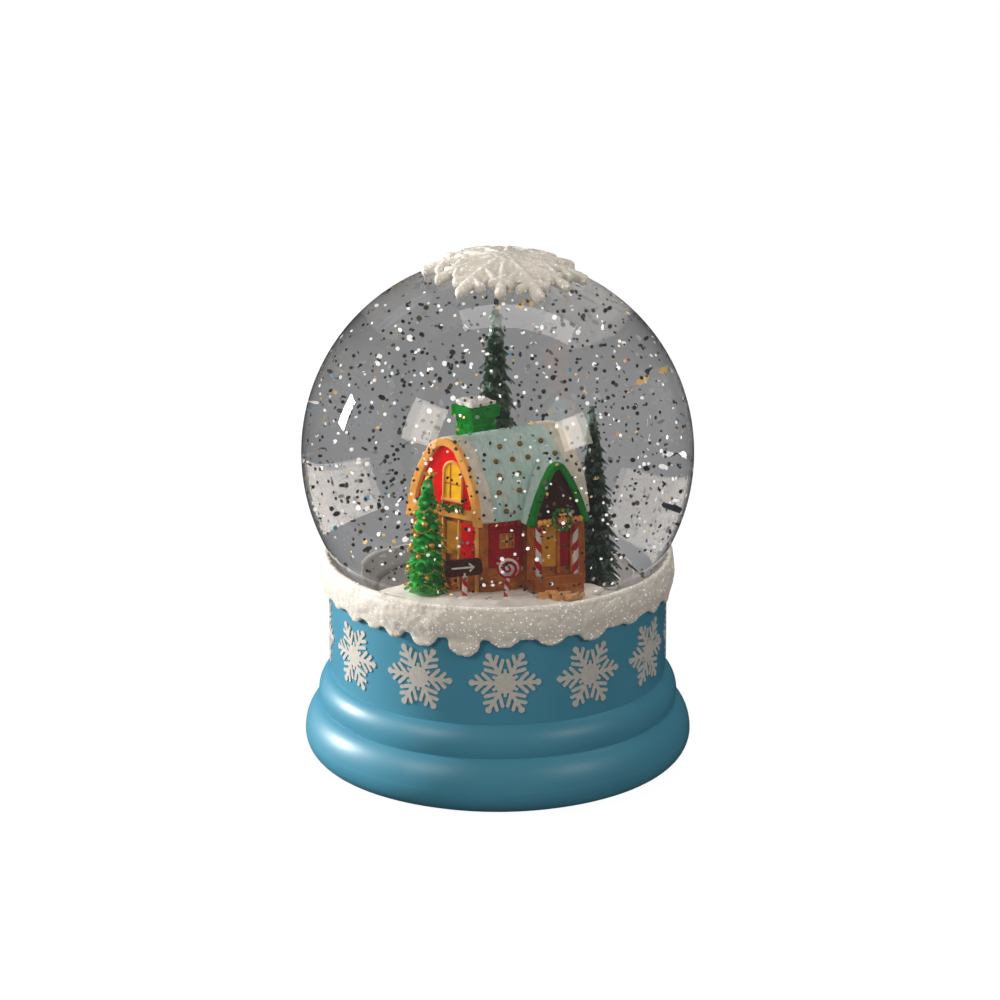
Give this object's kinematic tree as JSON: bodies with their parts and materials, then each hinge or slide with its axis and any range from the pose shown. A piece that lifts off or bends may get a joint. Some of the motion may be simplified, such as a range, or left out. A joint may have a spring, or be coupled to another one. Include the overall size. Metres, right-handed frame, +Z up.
{
  "type": "snow globe",
  "caption": "Water-filled glitter ball on a round stepped base, with a miniature cottage scene inside and a magnet-driven swirler and lamps underneath.",
  "frame": {"origin": "centre of the foot ring's bottom face, on the surface the globe stands on", "axes": "+Z up through the ball; -Y is the front, where the cottage's corner and the sign face the viewer; +X to the viewer's right"},
  "size_m": [0.15, 0.15, 0.2013],
  "materials": {
    "base_blue": "satin painted sky-blue moulding",
    "flake_white": "matt off-white raised print",
    "glitter_snow": "white modelled snow with fine silver glitter",
    "clear_globe": "clear, polished",
    "water": "clear liquid",
    "clear_plastic": "clear moulded plastic",
    "seal_rubber": "soft black rubber",
    "foot_rubber": "soft dark grey rubber",
    "white_plastic": "plain moulded plastic",
    "magnet": "nickel-plated disc magnet",
    "steel": "plain steel",
    "brass_contact": "plated spring contact",
    "motor_can": "drawn steel can",
    "board_green": "printed circuit board",
    "led_warm": "clear warm-white lamp",
    "cell_wrap": "plain printed sleeve",
    "black_plastic": "black moulded plastic",
    "wire_red": "insulated stranded wire",
    "resin_snow": "painted resin snow",
    "wall_tan": "hand-painted resin",
    "roof_teal": "hand-painted resin, frosted",
    "trim_orange": "hand-painted resin",
    "panel_red": "hand-painted resin",
    "window_yellow": "translucent resin, lit from behind",
    "door_gold": "hand-painted resin",
    "shutter_red": "hand-painted resin",
    "window_tan": "hand-painted resin",
    "board_paint_green": "hand-painted resin",
    "panel_maroon": "hand-painted resin",
    "candy_stripe": "white and red spiral stripe",
    "wreath_green": "hand-painted resin",
    "stone": "hand-painted resin",
    "pine_green": "dark green moulded foliage, frosted tips",
    "tree_green": "bright green moulded foliage",
    "gold_paint": "gold paint",
    "sign_brown": "dark brown painted resin"
  },
  "bodies": {
    "root": {"base_housing": "base_blue", "foot_ring": "foot_rubber", "base_snowflakes": "flake_white", "snow_trim": "glitter_snow", "globe_shell": "clear_globe", "liquid_fill": "water", "snowflake_topper": "glitter_snow", "neck_plug": "clear_plastic", "neck_gasket": "seal_rubber", "clamp_ring": "white_plastic", "clamp_ring_screws": "steel", "impeller_pin": "steel", "motor": "motor_can", "motor_bracket": "steel", "bracket_screws": "steel", "led_board": "board_green", "led_lamps": "led_warm", "bottom_plate": "base_blue", "bottom_plate_screws": "steel", "batteries": "cell_wrap", "battery_springs": "brass_contact", "battery_contacts": "brass_contact", "switch_body": "black_plastic", "circuit_board": "board_green", "wires": "wire_red", "snow_ground": "resin_snow", "cottage_walls": "wall_tan", "cottage_roof": "roof_teal", "gable_trim": "trim_orange", "gable_panel": "panel_red", "attic_window": "window_yellow", "gold_door": "door_gold", "red_door": "panel_red", "red_shutters": "shutter_red", "side_window": "window_tan", "porch_walls": "wall_tan", "porch_roof": "board_paint_green", "porch_gable_panel": "panel_maroon", "porch_door": "window_yellow", "candy_columns": "candy_stripe", "door_wreath": "wreath_green", "chimney": "board_paint_green", "chimney_snow": "resin_snow", "path_stones": "stone", "back_pine": "pine_green", "right_pine": "pine_green", "christmas_tree": "tree_green", "tree_star": "gold_paint", "sign_board": "sign_brown", "sign_post": "candy_stripe", "lollipop_disc": "candy_stripe", "lollipop_stick": "candy_stripe"},
    "rotor": {"motor_shaft": "steel", "drive_disc": "white_plastic", "drive_magnets": "magnet"},
    "swirler": {"impeller": "clear_plastic", "impeller_magnets": "magnet"},
    "switch": {"switch_knob": "black_plastic"},
    "door": {"battery_door": "base_blue", "door_screw": "steel"}
  },
  "joints": [
    {"name": "rotor_spin", "type": "hinge", "parent": "root", "child": "rotor", "pos_m": [0, 0, 0.0475], "axis": [0, 0, 1], "continuous": true},
    {"name": "swirler_spin", "type": "hinge", "parent": "root", "child": "swirler", "pos_m": [0, 0, 0.0562], "axis": [0, 0, 1], "continuous": true},
    {"name": "switch_slide", "type": "slide", "parent": "root", "child": "switch", "axis": [1, 0, 0], "range_m": [-0.0025, 0.0025]},
    {"name": "battery_door_lift", "type": "slide", "parent": "root", "child": "door", "axis": [0, 0, -1], "range_m": [0, 0.03]}
  ],
  "couplings": [
    {"joint": "swirler_spin", "follows": "rotor_spin", "ratio": 1}
  ]
}
